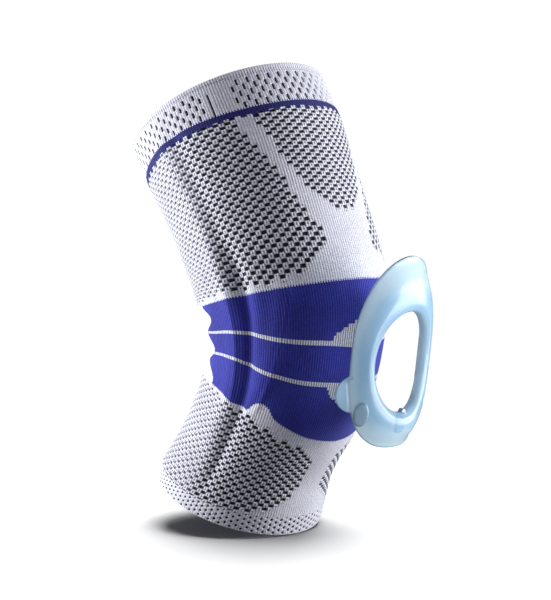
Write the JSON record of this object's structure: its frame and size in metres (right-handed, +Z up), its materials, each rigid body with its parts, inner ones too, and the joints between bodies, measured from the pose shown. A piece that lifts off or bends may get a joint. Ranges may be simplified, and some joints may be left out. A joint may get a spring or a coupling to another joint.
{
  "type": "knee sleeve with silicone patella ring",
  "caption": "Knitted compression sleeve for a bent knee, with openwork thigh and calf, a blue knee band and a separate curved silicone ring for the kneecap.",
  "frame": {"origin": "the middle of the knee on the leg's axis, inside the sleeve, where the leg holds it", "axes": "+Z up, -Y to the front, where the kneecap is, +X and -X to the two sides of the knee"},
  "size_m": [0.1436, 0.2454, 0.3279],
  "materials": {
    "knit_white": "matte elastic knit",
    "knit_blue": "matte elastic knit with two white rib lines",
    "silicone": "smooth translucent silicone"
  },
  "bodies": {
    "root": {"upper_cuff": "knit_white", "upper_stripe": "knit_blue", "thigh_knit": "knit_white", "knee_band": "knit_blue", "back_panel": "knit_white", "calf_knit": "knit_white", "lower_cuff": "knit_white", "patella_pad": "silicone"}
  },
  "joints": []
}
